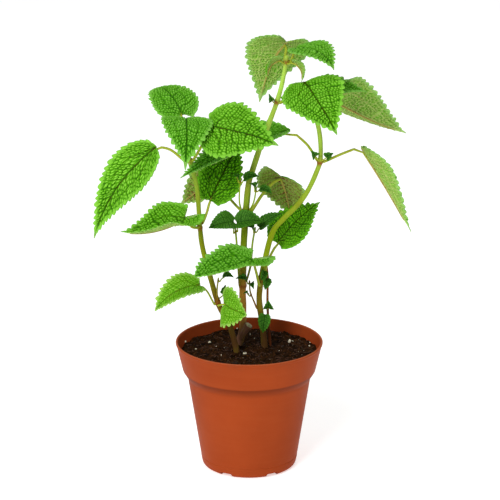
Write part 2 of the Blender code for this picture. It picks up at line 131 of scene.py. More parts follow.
class Nodes:
    """A material or node group being wired, one node at a time."""

    def __init__(self, tree):
        self.tree = tree
        self.skin = tree.nodes.get("Principled BSDF")

    def add(self, kind, **values):
        node = self.tree.nodes.new("ShaderNode" + kind)
        for key, value in values.items():
            if hasattr(node, key):
                setattr(node, key, value)
            else:
                self.feed(node, key.replace("_", " "), value)
        return node

    def feed(self, node, key, value):
        socket = node.inputs[key]
        if isinstance(value, bpy.types.NodeSocket):
            self.tree.links.new(value, socket)
        elif socket.type == "RGBA":
            socket.default_value = (*value, 1)
        else:
            socket.default_value = value

    def mix(self, share, first, second, blend="MIX"):
        node = self.add("Mix", data_type="RGBA", blend_type=blend)
        for key, value in ((0, share), (6, first), (7, second)):
            self.feed(node, key, value)
        return node.outputs[2]

    def math(self, operation, first, second=0.0, clamp=False):
        node = self.add("Math", operation=operation, use_clamp=clamp)
        self.feed(node, 0, first)
        self.feed(node, 1, second)
        return node.outputs[0]

    def span(self, value, low, high, start=0.0, stop=1.0):
        return self.add("MapRange", Value=value, From_Min=low, From_Max=high,
                        To_Min=start, To_Max=stop).outputs[0]

    def noise(self, place, scale, detail=3.0):
        return self.add("TexNoise", Vector=place, Scale=scale, Detail=detail).outputs[0]

    def here(self):
        return self.add("TexCoord").outputs["Object"]

    def along(self, place, size):
        mapping = self.add("Mapping", Vector=place)
        mapping.inputs["Scale"].default_value = size
        return mapping.outputs[0]

    def mark(self, name):
        return self.add("Attribute", attribute_name=name).outputs["Fac"]

    def bump(self, height, depth, strength=1.0):
        return self.add("Bump", Height=height, Distance=depth, Strength=strength).outputs[0]

    def dress(self, colour, roughness, normal=None, shine=None):
        self.feed(self.skin, "Base Color", colour)
        self.feed(self.skin, "Roughness", roughness)
        if normal is not None:
            self.feed(self.skin, "Normal", normal)
        if shine is not None:
            self.feed(self.skin, "Specular IOR Level", shine)


def finish(name):
    """A new material and its nodes."""
    made = bpy.data.materials.new(name)
    made.use_nodes = True
    return made, Nodes(made.node_tree)


TERRACOTTA, n = finish("terracotta_polypropylene")
here = n.here()
cloud = n.noise(here, 22, 4)
grain = n.noise(here, 900, 2)
flow = n.noise(n.along(here, (30, 30, 260)), 1, 3)
colour = n.mix(n.span(cloud, 0.35, 0.7), (0.35, 0.056, 0.012), (0.30, 0.047, 0.010))
colour = n.mix(n.span(flow, 0.45, 0.8, 0, 0.12), colour, (0.40, 0.085, 0.026))
height = n.add("SeparateXYZ", Vector=here).outputs["Z"]
dust = n.math("MULTIPLY", n.span(height, 0.085, 0.0925), n.span(n.noise(here, 160, 5), 0.52, 0.72))
colour = n.mix(n.math("MULTIPLY", dust, 0.25), colour, (0.16, 0.06, 0.03))
# painted shade darkens the crease under the collar, and a painted highlight makes the lip paler
painted_crease_shade = n.math("MULTIPLY", n.span(height, 0.0729, 0.0718), n.span(height, 0.0645, 0.0712))
colour = n.mix(n.math("MULTIPLY", painted_crease_shade, 0.62), colour, (0.10, 0.016, 0.004))
# painted highlight: a paler band along the lip
colour = n.mix(n.span(height, 0.0927, 0.0932, 0, 0.5), colour, (0.50, 0.13, 0.055))
n.dress(colour, n.span(cloud, 0.3, 0.75, 0.45, 0.55), n.bump(grain, 0.00006, 0.35), 0.03)

pot_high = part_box("pot")[1]
DRAWN_RIM = 53.0  # the outline's own radius and height, which the frame's pot then sets
DRAWN_HEIGHT = 93.5
pot_outline = (
    # radius and height of each bend, and how round it is, down the inside and up the outside
    (0, 4.3, 0), (33.4, 4.3, 1.5), (43.1, 67.1, 1.2), (46.7, 72.0, 1.2), (51.2, 92.6, 0.5),
    (51.9, 93.5, 0.4), (52.7, 93.3, 0.4), (53.0, 92.6, 0.5), (52.8, 91.7, 0.4), (52.3, 91.2, 0.3),
    (47.9, 72.4, 0.5), (47.3, 71.4, 0.6), (44.3, 66.6, 0.8), (35.1, 8.0, 0.12), (34.85, 7.7, 0.12),
    (34.85, 7.3, 0.12), (35.0, 7.0, 0.12), (34.7, 4.6, 1.2), (33.8, 1.2, 1.0), (31.8, 0.0, 0.4),
    (28.4, 0.0, 0.3), (27.2, 3.2, 0.8), (0, 3.2, 0),
)
shape = bmesh.new()
line = [shape.verts.new((r / DRAWN_RIM * pot_high.x, 0, z / DRAWN_HEIGHT * pot_high.z))
        for r, z, _ in pot_outline]
for first, second in zip(line, line[1:]):
    shape.edges.new((first, second))
for corner, (_, _, round_by) in zip(line, pot_outline):
    if round_by:
        bmesh.ops.bevel(shape, geom=[corner], offset=round_by * MM, segments=4, profile=0.5,
                        affect="VERTICES", material=-1)
bmesh.ops.spin(shape, geom=shape.verts[:] + shape.edges[:], cent=(0, 0, 0), axis=(0, 0, 1),
               angle=math.tau, steps=180, use_merge=True)
bmesh.ops.remove_doubles(shape, verts=shape.verts, dist=0.00001)
pot = piece("pot_shell", shape, [TERRACOTTA], "terracotta_plastic", "pot")

NOTCHES = 6
NOTCH_SIZE = (13.2 * MM, 9.5 * MM, 5.2 * MM, 1)  # through the ring, along it, and up
NOTCH_ROUND = 1.1 * MM
NOTCH_REACH = 30.9 * MM  # from the pot's axis to the middle of the ring
DRAIN_REACH = 21.8 * MM
DRAIN_RADIUS = 3.2 * MM
FLOOR_LEVEL = 3.2 * MM
cutters = bmesh.new()
for i in range(NOTCHES):
    turn = Matrix.Rotation(math.radians(360 / NOTCHES * (i + 0.5) - 90), 4, "Z")
    arch = turn @ Matrix.Translation((NOTCH_REACH, 0, 0)) @ Matrix.Diagonal(NOTCH_SIZE)
    block = bmesh.ops.create_cube(cutters, size=1, matrix=arch)
    roof = [e for v in block["verts"] for e in v.link_edges
            if e.verts[0].co.z > 0.002 and e.verts[1].co.z > 0.002]
    bmesh.ops.bevel(cutters, geom=list(set(roof)), offset=NOTCH_ROUND, segments=4, profile=0.5,
                    affect="EDGES", material=-1)
    well = turn @ Matrix.Translation((DRAIN_REACH, 0, FLOOR_LEVEL))
    bmesh.ops.create_cone(cutters, cap_ends=True, segments=32, radius1=DRAIN_RADIUS,
                          radius2=DRAIN_RADIUS, depth=6.6 * MM, matrix=well)
cutter_mesh = bpy.data.meshes.new("notches_and_drains")
cutters.to_mesh(cutter_mesh)
cutters.free()
cutter = bpy.data.objects.new("notches_and_drains", cutter_mesh)
bpy.context.scene.collection.objects.link(cutter)
cut = pot.modifiers.new("cut", "BOOLEAN")
cut.operation = "DIFFERENCE"
cut.solver = "EXACT"
cut.object = cutter
whole = pot.evaluated_get(bpy.context.evaluated_depsgraph_get())
cut_mesh = bpy.data.meshes.new_from_object(whole)
pot.modifiers.clear()
pot.data = cut_mesh
bpy.data.objects.remove(cutter)
pot.data.set_sharp_from_angle(angle=math.radians(38))

# The potting soil: dark peat with bark crumbs, reddish fibres and white perlite grains,
# filled to a little below the rim and heaped unevenly by hand round the stems.
SOIL, n = finish("peat")
here = n.here()
clod = n.noise(here, 190, 6)
fine = n.noise(here, 1300, 4)
colour = n.mix(n.span(clod, 0.35, 0.68), (0.0050, 0.0020, 0.0006), (0.034, 0.0125, 0.0035))
colour = n.mix(n.span(n.noise(here, 420, 4), 0.6, 0.78), colour, (0.12, 0.040, 0.010))
n.dress(colour, n.span(fine, 0.3, 0.7, 0.7, 1.0),
        n.bump(n.math("ADD", fine, n.math("MULTIPLY", clod, 2)), 0.0006, 0.8), 0.03)

soil_low, soil_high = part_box("soil")
SOIL_TOP = soil_high.z
CENTRE = Vector(((soil_low.x + soil_high.x) / 2, (soil_low.y + soil_high.y) / 2, SOIL_TOP))
SOIL_RADIUS = (soil_high.x - soil_low.x) / 2


def ground(x, y):
    """Height of the soil's surface over its mean level, in metres."""
    spot = Vector((x, y, 0))
    lumps = 1.5 * noise.noise(spot * 75) + 1.2 * noise.noise(spot * 210 + Vector((5, 1, 0)))
    crumbs = 0.65 * noise.noise(spot * 560) + 0.35 * abs(noise.noise(spot * 1100))
    heap = 0.9 * math.exp(-((x + 0.002) ** 2 + (y - 0.006) ** 2) / 0.0004)
    sink = 1.4 * max(math.hypot(x, y) / SOIL_RADIUS - 0.82, 0) / 0.18
    return MM * (lumps + crumbs + heap - sink)


shape = bmesh.new()
bmesh.ops.create_grid(shape, x_segments=160, y_segments=160, size=1)
for v in shape.verts:
    x, y = v.co.x, v.co.y
    flat_x = (SOIL_RADIUS - 0.3 * MM) * x * math.sqrt(1 - y * y / 2)
    flat_y = (SOIL_RADIUS - 0.3 * MM) * y * math.sqrt(1 - x * x / 2)
    v.co = (CENTRE.x + flat_x, CENTRE.y + flat_y, SOIL_TOP + ground(flat_x, flat_y))
pot_inside = ((50.0, 84.5), (47.0, 72.0), (42.6, 66.8), (33.2, 4.8))  # radius, height in mm
edge = [e for e in shape.edges if e.is_boundary]
for radius, level in pot_inside:
    down = bmesh.ops.extrude_edge_only(shape, edges=edge)["geom"]
    for v in (g for g in down if isinstance(g, bmesh.types.BMVert)):
        out = Vector((v.co.x - CENTRE.x, v.co.y - CENTRE.y, 0)).normalized()
        v.co = CENTRE + out * min(radius * MM, SOIL_RADIUS)
        v.co.z = level * MM
    edge = [g for g in down if isinstance(g, bmesh.types.BMEdge)]
bmesh.ops.edgeloop_fill(shape, edges=edge)
piece("soil_bed", shape, [SOIL], "potting_soil", "soil")

CRUMB, n = finish("peat_crumb")
here = n.here()
tone = n.noise(here, 240, 2)
colour = n.mix(n.span(tone, 0.35, 0.7), (0.008, 0.0032, 0.0010), (0.07, 0.026, 0.007))
n.dress(colour, n.span(n.noise(here, 1500, 3), 0.3, 0.7, 0.75, 1.0),
        n.bump(n.noise(here, 1800, 4), 0.0003, 0.8), 0.05)

rng = np.random.default_rng(7)


def scatter(count, reach=0.94):
    """Evenly spread spots on the soil as (x, y, height)."""
    for _ in range(count):
        r = reach * SOIL_RADIUS * math.sqrt(rng.random())
        a = math.tau * rng.random()
        x, y = r * math.cos(a), r * math.sin(a)
        yield Vector((x + CENTRE.x, y + CENTRE.y, SOIL_TOP + ground(x, y)))


def lump(shape, spot, size, detail=1, rough=0.25):
    """A knobbly grain: an icosphere pushed in and out, turned at random."""
    turn = Euler([math.tau * rng.random() for _ in range(3)]).to_matrix().to_4x4()
    stretch = Matrix.Diagonal((1, 0.6 + 0.5 * rng.random(), 0.5 + 0.4 * rng.random(), 1))
    grain = bmesh.ops.create_icosphere(
        shape, subdivisions=detail, radius=size,
        matrix=Matrix.Translation(spot) @ turn @ stretch)
    for v in grain["verts"]:
        v.co = spot + (v.co - spot) * (1 + rough * noise.noise(v.co * 900) * 2)


shape = bmesh.new()
for spot in scatter(1500):
    lump(shape, spot, (0.35 + 0.9 * rng.random() ** 2) * MM, rough=0.4)
piece("soil_crumbs", shape, [CRUMB], "potting_soil")

FIBRE, n = finish("peat_fibre")
tone = n.noise(n.here(), 140, 2)
colour = n.mix(n.span(tone, 0.35, 0.7), (0.022, 0.009, 0.004), (0.12, 0.045, 0.02))
n.dress(colour, n.span(tone, 0.3, 0.7, 0.65, 0.9))


def smooth_path(spots, steps):
    """A Catmull-Rom line through the spots, as rows of an array."""
    ends = [2 * spots[0] - spots[1], *spots, 2 * spots[-1] - spots[-2]]
    path = []
    for p, a, b, q in zip(ends, ends[1:], ends[2:], ends[3:]):
        for i in range(steps):
            t = i / steps
            path.append(0.5 * (2 * a + (b - p) * t + (2 * p - 5 * a + 4 * b - q) * t**2
                               + (3 * a - p - 3 * b + q) * t**3))
    return np.array([list(p) for p in [*path, spots[-1]]])


def rod(shape, path, radii, around=16, ribs=0, rib_depth=0.0, marks=None, material=0):
    """A closed round rod along the path; each end is closed by a ring drawn to a point."""
    first, last = path[0] - path[1], path[-1] - path[-2]
    path = np.vstack([path[0] + 0.02 * MM * first / np.linalg.norm(first), path,
                      path[-1] + 0.02 * MM * last / np.linalg.norm(last)])
    radii = np.concatenate([[0], radii, [0]])
    marks = {name: np.concatenate([m[:1], m, m[-1:]]) for name, m in (marks or {}).items()}
    count = len(path)
    for name in marks:
        shape.verts.layers.float.get(name) or shape.verts.layers.float.new(name)
    grid = bmesh.ops.create_grid(shape, x_segments=around, y_segments=count - 1, size=0.5)
    tangents = np.gradient(path, axis=0)
    tangents /= np.linalg.norm(tangents, axis=1)[:, None] + 1e-12
    side = np.cross(tangents[0], (0.31, 0.87, 0.38))
    sides = []
    for t in tangents:
        side = side - t * (side @ t)
        side = side / np.linalg.norm(side)
        sides.append(side)
    sides = np.array(sides)
    ups = np.cross(tangents, sides)
    co = np.array([v.co[:] for v in grid["verts"]])
    row = np.rint((co[:, 1] + 0.5) * (count - 1)).astype(int)
    turn = math.tau * (co[:, 0] + 0.5)
    reach = radii[row] * (1 + rib_depth * np.cos(ribs * turn + 0.02 * row))
    spots = path[row] + reach[:, None] * (
        np.cos(turn)[:, None] * sides[row] + np.sin(turn)[:, None] * ups[row])
    for v, spot in zip(grid["verts"], spots):
        v.co = spot
        for face in v.link_faces:
            face.material_index = material
    for name, values in marks.items():
        layer = shape.verts.layers.float[name]
        for v, value in zip(grid["verts"], values[row]):
            v[layer] = value
    bmesh.ops.remove_doubles(shape, verts=grid["verts"], dist=0.0000005)


shape = bmesh.new()
for spot in scatter(340):
    heading = Euler((0, 0, math.tau * rng.random())).to_matrix() @ Vector((1, 0, 0))
    length = (1.5 + 5.5 * rng.random() ** 2) * MM
    sag = Vector((0, 0, (0.5 + rng.random()) * MM))
    sway = heading.cross(Vector((0, 0, 1))) * (rng.random() - 0.5) * length
    ends = [spot - heading * length / 2, spot + sag * 0.6 + sway * 0.6, spot + heading * length / 2]
    path = smooth_path([e + Vector((0, 0, 0.5 * MM)) for e in ends], 3)
    thick = (0.10 + 0.16 * rng.random()) * MM
    rod(shape, path, thick * np.array([0.4, 0.8, 1, 1, 1, 0.7, 0.3]), around=4)
piece("soil_fibres", shape, [FIBRE], "potting_soil")

PERLITE, n = finish("perlite")
here = n.here()
colour = n.mix(n.span(n.noise(here, 700, 3), 0.4, 0.7), (0.80, 0.74, 0.58), (0.55, 0.46, 0.30))
n.dress(colour, n.span(n.noise(here, 1500, 2), 0.3, 0.7, 0.6, 0.9),
        n.bump(n.noise(here, 2200, 3), 0.0003, 0.7))
shape = bmesh.new()
for x, y, size in ((-9, 48, 0.5), (9.3, 20.8, 0.8), (3.9, 20.8, 0.5), (-3.7, -9.8, 1.25),
                   (-2.2, -9.0, 0.8), (29.6, 14.2, 1.35), (31.2, 15.0, 0.9), (-46.4, 16.4, 0.7),
                   (-28.5, 12, 0.95), (-38.4, 1, 0.7), (43.6, 9.8, 0.7), (44.4, 18.6, 0.6),
                   (21.5, -1.2, 0.6), (0.6, 32, 0.5), (36, 22, 0.4), (-20, -14, 0.5)):
    spot = Vector((x, y, 0)) * MM + Vector((0, 0, SOIL_TOP + 0.4 * MM))
    lump(shape, spot + Vector((0, 0, ground(x * MM, y * MM))), size * MM, detail=2, rough=0.5)
for spot in scatter(42):
    lump(shape, spot + Vector((0, 0, 0.2 * MM)), (0.15 + 0.25 * rng.random()) * MM, rough=0.5)
piece("perlite_grains", shape, [PERLITE], "potting_soil")

# The stems: soft, slightly ribbed, woody and brown at the foot, olive in the middle and
# pale green at the top, with a swollen red-brown ring at each pair of leaves.
PLANT_SHIFT = -0.8 * MM


def place(x, y, z):
    """A spot on the plant, in millimetres from the middle of the soil's surface."""
    return Vector((x, y, z)) * MM + CENTRE + Vector((PLANT_SHIFT, 0, 0))


def stem_finish(name, bark, foot, middle, top, ring, stripe):
    """Skin that changes from bark to a pale top, ringed at its nodes and streaked lengthwise."""
    made, n = finish(name)
    here = n.here()
    grown = n.mark("grown")
    streaks = n.noise(n.along(here, (900, 900, 60)), 1, 3)
    grain = n.math("ADD", streaks, n.math("MULTIPLY", n.noise(here, 1600, 2), 0.5))
    patches = n.noise(n.along(here, (160, 160, 45)), 1, 3)
    low = n.mix(n.span(grown, 0.20, 0.30), foot, middle)
    low = n.mix(n.span(grown, 0.12, 0.05), low, bark)
    colour = n.mix(n.span(grown, 0.42, 0.9), low, top)
    colour = n.mix(n.span(patches, 0.45, 0.7, 0, 0.45), colour, stripe)
    colour = n.mix(n.span(streaks, 0.35, 0.75, 0, 0.35), colour,
                   n.mix(1.0, colour, (0.62, 0.60, 0.55), "MULTIPLY"))
    ringed = n.math("MULTIPLY", n.mark("node"), n.span(patches, 0.3, 0.6, 0.55, 0.95))
    colour = n.mix(ringed, colour, ring)
    n.dress(colour, n.span(streaks, 0.3, 0.7, 0.42, 0.6), n.bump(grain, 0.00015, 0.6), 0.06)
    return made


STEM = stem_finish("pilea_stem", (0.10, 0.046, 0.012), (0.17, 0.105, 0.008), (0.22, 0.30, 0.005),
                   (0.42, 0.68, 0.09), (0.24, 0.045, 0.010), (0.23, 0.20, 0.008))
STEM_BROWN = stem_finish("pilea_stem_centre", (0.20, 0.095, 0.055), (0.58, 0.27, 0.04),
                         (0.19, 0.27, 0.005), (0.42, 0.68, 0.09), (0.24, 0.045, 0.010),
                         (0.25, 0.18, 0.010))
STEM_RED = stem_finish("pilea_stem_thin", (0.16, 0.045, 0.015), (0.22, 0.060, 0.012),
                       (0.24, 0.065, 0.012), (0.22, 0.11, 0.015), (0.14, 0.03, 0.01),
                       (0.30, 0.10, 0.015))

CUT_WOOD, n = finish("healed_cut")
here = n.here()
cork = n.noise(here, 420, 5)
colour = n.mix(n.span(cork, 0.35, 0.65), (0.22, 0.19, 0.09), (0.55, 0.55, 0.33))
colour = n.mix(n.span(n.noise(here, 1500, 3), 0.55, 0.75), colour, (0.16, 0.09, 0.05))
n.dress(colour, n.span(cork, 0.3, 0.7, 0.65, 0.9), n.bump(cork, 0.0004, 0.8))

GROWN_AT = 214 * MM  # the height at which a stem's skin is at its youngest
stem_lines = {}  # centre line and radii of every stem and shoot, for what grows from it


def stem_rod(shape, name, path, thick, thin, nodes=(), around=28, ribs=6, rib_depth=0.035,
             reach=1.0):
    """A tapering ribbed rod with a swollen ring at each node and a rounded upper end."""
    share = np.linspace(0, 1, len(path))
    radii = thick + (thin - thick) * share
    stem_lines[name] = (path, thick, thin)
    height = (path[:, 2] - SOIL_TOP) / MM
    ring = np.zeros(len(path))
    for level in nodes:
        swell = np.exp(-((height - level) / (1.3 * reach)) ** 2)
        radii = radii * (1 + 0.26 * swell)
        ring = np.maximum(ring, np.exp(-((height - level + 0.4) / (1.5 * reach)) ** 2))
    radii = radii * (1 + 0.05 * np.sin(height * 0.35) * np.sin(height * 0.11 + 1))
    cap = np.array([0.2, 0.4, 0.6, 0.8, 0.95])
    ahead = path[-1] - path[-2]
    ahead /= np.linalg.norm(ahead)
    path = np.vstack([path, path[-1] + np.outer(np.sin(cap * math.pi / 2) * thin, ahead)])
    radii = np.concatenate([radii, radii[-1] * np.cos(cap * math.pi / 2)])
    ring = np.concatenate([ring, ring[-1:].repeat(5)])
    marks = {"grown": np.clip((path[:, 2] - SOIL_TOP) / GROWN_AT, 0, 1), "node": ring}
    rod(shape, path, radii, around, ribs, rib_depth, marks)


def stem(name, spots, thick, thin, nodes, **more):
    """The shape of one stem through its spots, with sizes in millimetres."""
    shape = bmesh.new()
    stem_rod(shape, name, smooth_path([place(*s) for s in spots], 14), thick * MM, thin * MM,
             nodes, **more)
    return shape


shape = stem(
    "stem_left",
    [(-8, -7, -6), (-8, -7, 0), (-13, -7, 20), (-21, -6, 36), (-26, -5, 53), (-32, -5, 77),
     (-34, -5, 93), (-36, -6, 122), (-41, -7, 143), (-44, -6, 161), (-46, -5, 171)],
    2.3, 1.3, (38, 93, 143, 170))
piece("left_stem", shape, [STEM], "olive_stem", "stem_left")
shape = stem(
    "stem_centre",
    [(-7, 8, -6), (-7, 8, 0), (-4, 9, 14), (-4, 9, 43), (-3, 10, 80), (0, 9, 119), (3, 9, 131),
     (9, 8, 150), (15, 7, 167), (20, 6, 181), (24, 5, 196), (27, 4, 214)],
    2.9, 1.4, (46, 101, 182, 211), ribs=5, rib_depth=0.05)
# the stub of an older shoot, cut off above the soil and healed over
stub_path = smooth_path([place(-6, 8, 3), place(-3.5, 6, 10), place(0.5, 4.5, 17)], 10)
share = np.linspace(0, 1, len(stub_path))
stub_radii = MM * (1.9 + 1.2 * share**2)
bark = {"grown": np.full(len(stub_path), 0.03), "node": np.zeros(len(stub_path))}
rod(shape, stub_path, stub_radii, 24, 7, 0.10, bark)
stub_ahead = (stub_path[-1] - stub_path[-2]) / np.linalg.norm(stub_path[-1] - stub_path[-2])
cut_path = stub_path[-1] + np.outer([-0.3 * MM, 0.2 * MM, 0.5 * MM], stub_ahead)
rod(shape, cut_path, np.array([2.7, 2.6, 2.1]) * MM, 24, 5, 0.06,
    {name: marks[:3] for name, marks in bark.items()}, material=1)
piece("centre_stem", shape, [STEM_BROWN, CUT_WOOD], "brown_stem", "stem_centre")
shape = stem(
    "stem_right",
    [(12, 3, -6), (12, 3, 0), (10, 2, 20), (8, 0, 40), (11, 0, 62), (17, 0, 87), (25, 0, 98),
     (35, 1, 108), (42, 1, 118), (48, 2, 131), (51, 2, 142), (50, 2, 161), (44, 0, 184)],
    2.4, 1.5, (54, 139, 183))
piece("right_stem", shape, [STEM], "olive_stem", "stem_right")
shape = stem(
    "stem_thin",
    [(16, 9, -6), (16, 9, 0), (15, 8, 13), (14, 7, 32), (14, 8, 52), (13, 9, 62)],
    1.1, 0.8, (30, 52), around=20, ribs=4)
piece("thin_stem", shape, [STEM_RED], "red_stem", "stem_thin")


def spot_on(name, height, heading, reach=0.0):
    """A point beside the stem at a height above the soil, `reach` clear of its skin."""
    path, thick, thin = stem_lines[name]
    level = SOIL_TOP + height * MM
    i = int(np.clip(np.searchsorted(path[:, 2], level) - 1, 0, len(path) - 2))
    low, high = path[i], path[i + 1]
    share = min(max((level - low[2]) / (high[2] - low[2]), 0), 1)
    along = (high - low) / np.linalg.norm(high - low)
    radius = thick + (thin - thick) * (i + share) / (len(path) - 1)
    out = np.array(heading, float)
    out = out - (out @ along) * along
    out /= np.linalg.norm(out)
    return Vector(low + share * (high - low) + out * (0.9 * radius + reach))


# The side shoots: thin, soft green rods that grow out of the stems' joints and end in a
# pair of very small leaves.
SHOOT = stem_finish("pilea_shoot", (0.28, 0.10, 0.012), (0.30, 0.13, 0.012),
                    (0.26, 0.36, 0.015), (0.30, 0.52, 0.03), (0.20, 0.05, 0.012),
                    (0.20, 0.42, 0.02))
for name, parent, height, heading, spots, thick, nodes in (
    ("shoot_left", "stem_left", 40, (0.3, -1, 0), [(-22, -12, 49), (-21, -13, 58)], 0.7, (56,)),
    ("shoot_low", "stem_right", 31, (-0.9, 0.5, 0), [(4, 3, 36), (1.5, 3, 43), (1, 3, 51)], 0.7,
     (41, 50)),
    ("shoot_front", "stem_centre", 47, (-0.8, -0.8, 0), [(-7, 4, 62), (-8, 2, 78), (-9, 0, 91)],
     0.9, (72, 89)),
    ("shoot_middle", "stem_centre", 50, (1, -0.4, 0), [(2, 8, 62), (3, 8, 76), (5, 8, 89)], 0.9,
     (70, 87)),
    ("axil_shoot_left", "stem_centre", 100, (-1, -0.8, 0), [(-6, 5, 108), (-6, 4, 118),
                                                           (-5, 3, 127)], 0.7, (125,)),
    ("axil_shoot_right", "stem_centre", 101, (1, -0.9, 0), [(4, 5, 109), (6, 5, 120)], 0.7,
     (118,)),
):
    foot = spot_on(parent, height, heading)
    knee = spot_on(parent, height, heading, reach=thick * MM)
    shape = bmesh.new()
    path = smooth_path([foot, knee, *[place(*s) for s in spots]], 10)
    stem_rod(shape, name, path, thick * MM, 0.7 * thick * MM, nodes, 16, 4, 0.04, reach=0.7)
    piece(name + "_rod", shape, [SHOOT],
          "brown_stem" if name == "shoot_low" else "olive_stem", name)

# The leaves: each is one soft, quilted blade of thin tissue on its own stalk. The upper side
# is raised in rows of small domes between sunken veins, the underside shows the same veins
# as ridges, and the margin has a row of rounded teeth that point towards the tip.
quilt = bpy.data.node_groups.new("quilted_leaf", "ShaderNodeTree")
QUILT_COLOURS = ("Groove", "Middle", "Crest", "Vein", "Net", "Margin")
QUILT_AMOUNTS = ("Vein Amount", "Net Amount", "Net Spread", "Grain")
for names, kind in ((QUILT_COLOURS, "NodeSocketColor"), (QUILT_AMOUNTS, "NodeSocketFloat")):
    for name in names:
        quilt.interface.new_socket(name=name, in_out="INPUT", socket_type=kind)
for name, kind in (("Colour", "NodeSocketColor"), ("Height", "NodeSocketFloat"),
                   ("Rough", "NodeSocketFloat")):
    quilt.interface.new_socket(name=name, in_out="OUTPUT", socket_type=kind)
n = Nodes(quilt)
given = quilt.nodes.new("NodeGroupInput").outputs
here = n.here()
crest = n.mark("crest")
vein = n.mark("vein")
net = n.mark("net")
margin = n.mark("margin")
patch = n.noise(here, 95, 3)
grain = n.noise(here, 1100, 3)
cells = n.add("TexVoronoi", Vector=here, Scale=2300.0).outputs["Distance"]
# Groove, Middle and Crest follow the dome height: partly the leaf's own tone, partly painted light,
# lighter where the surface stands out and darker in its hollows
shade = n.math("ADD", crest, n.math("MULTIPLY", n.math("SUBTRACT", patch, 0.5), 0.5))
shade = n.math("ADD", shade, n.math("MULTIPLY", n.math("SUBTRACT", grain, 0.5), given["Grain"]))
colour = n.mix(n.span(shade, 0.02, 0.5), given["Groove"], given["Middle"])
colour = n.mix(n.span(shade, 0.55, 1.0), colour, given["Crest"])
colour = n.mix(n.math("MULTIPLY", margin, 0.75), colour, given["Margin"])
spread = n.math("MAXIMUM", n.mark("inner"), given["Net Spread"])
net_share = n.math("MULTIPLY", n.math("MULTIPLY", net, given["Net Amount"]), spread, clamp=True)
colour = n.mix(net_share, colour, given["Net"])
colour = n.mix(n.math("MULTIPLY", vein, given["Vein Amount"], clamp=True), colour, given["Vein"])
out = quilt.nodes.new("NodeGroupOutput")
quilt.links.new(colour, out.inputs["Colour"])
quilt.links.new(n.math("ADD", grain, n.math("MULTIPLY", cells, 0.8)), out.inputs["Height"])
quilt.links.new(n.span(grain, 0.3, 0.7, 0.42, 0.62), out.inputs["Rough"])


def leaf_finish(name, *looks, net_spread=0.3, grain=0.25, glow=0.22, shine=0.1):
    """One side of a leaf, which lets some light through; looks are the group's first inputs."""
    made, n = finish(name)
    group = n.tree.nodes.new("ShaderNodeGroup")
    group.node_tree = quilt
    for key, value in zip(QUILT_COLOURS + QUILT_AMOUNTS, (*looks, net_spread, grain)):
        n.feed(group, key, value)
    normal = n.bump(group.outputs["Height"], 0.0001, 0.5)
    n.dress(group.outputs["Colour"], group.outputs["Rough"], normal, shine)
    through = n.add("BsdfTranslucent", Color=group.outputs["Colour"], Normal=normal)
    both = n.add("MixShader", Fac=glow)
    n.feed(both, 1, n.skin.outputs[0])
    n.feed(both, 2, through.outputs[0])
    n.tree.links.new(both.outputs[0], n.tree.nodes["Material Output"].inputs[0])
    return made


# the first three colours of each side, groove to crest, hold painted shade in the hollows and
# painted highlight on the domes besides the leaf's own tone
UPPER = leaf_finish("leaf_upper", (0.030, 0.17, 0.001), (0.125, 0.45, 0.003),
                    (0.31, 0.74, 0.06), (0.075, 0.026, 0.001), (0.045, 0.055, 0.001),
                    (0.27, 0.66, 0.06), 0.9, 0.6)
UPPER_PLAIN = leaf_finish("leaf_upper_plain", (0.035, 0.20, 0.003), (0.115, 0.44, 0.006),
                          (0.28, 0.70, 0.08), (0.035, 0.13, 0.002), (0.025, 0.14, 0.002),
                          (0.27, 0.64, 0.09), 0.8, 0.6)
UPPER_DEEP = leaf_finish("leaf_upper_deep", (0.025, 0.14, 0.001), (0.085, 0.33, 0.001),
                         (0.20, 0.60, 0.012), (0.065, 0.022, 0.001), (0.035, 0.040, 0.001),
                         (0.16, 0.48, 0.015), 0.9, 0.6)
UPPER_YOUNG = leaf_finish("leaf_upper_young", (0.07, 0.28, 0.002), (0.16, 0.47, 0.006),
                          (0.32, 0.66, 0.06), (0.20, 0.16, 0.01), (0.08, 0.25, 0.004),
                          (0.42, 0.70, 0.14), 0.8, 0.4)
UPPER_SMALL = leaf_finish("leaf_upper_small", (0.012, 0.080, 0.003), (0.038, 0.16, 0.008),
                          (0.10, 0.28, 0.03), (0.02, 0.07, 0.002), (0.01, 0.06, 0.002),
                          (0.05, 0.20, 0.01), 0.6, 0.4, glow=0.12)
UNDER = leaf_finish("leaf_under", (0.60, 0.82, 0.22), (0.40, 0.70, 0.10), (0.24, 0.56, 0.045),
                    (0.50, 0.20, 0.06), (0.47, 0.36, 0.09), (0.56, 0.84, 0.28), 0.9, 0.45,
                    net_spread=0.5, glow=0.42)
UNDER_NETTED = leaf_finish("leaf_under_netted", (0.46, 0.64, 0.14), (0.32, 0.52, 0.06),
                           (0.22, 0.42, 0.035), (0.17, 0.030, 0.018), (0.20, 0.040, 0.022),
                           (0.46, 0.68, 0.18), 1.0, 1.7, net_spread=0.7, glow=0.3)
UNDER_SMALL = leaf_finish("leaf_under_small", (0.09, 0.24, 0.02), (0.07, 0.20, 0.012),
                          (0.05, 0.16, 0.010), (0.12, 0.12, 0.015), (0.09, 0.14, 0.015),
                          (0.09, 0.24, 0.02), 0.6, 0.3)
STALK, n = finish("leaf_stalk")
here = n.here()
fuzz = n.noise(here, 1300, 3)
colour = n.mix(n.span(n.mark("grown"), 0.0, 0.35), (0.27, 0.22, 0.012), (0.34, 0.42, 0.03))
colour = n.mix(n.span(n.noise(here, 160, 3), 0.4, 0.7, 0, 0.4), colour, (0.42, 0.34, 0.05))
colour = n.mix(n.span(n.mark("grown"), 0.05, 0.0, 0, 0.6), colour, (0.20, 0.06, 0.012))
colour = n.mix(n.span(n.mark("grown"), 1.0, 1.3, 0, 0.8), colour, (0.42, 0.30, 0.08))
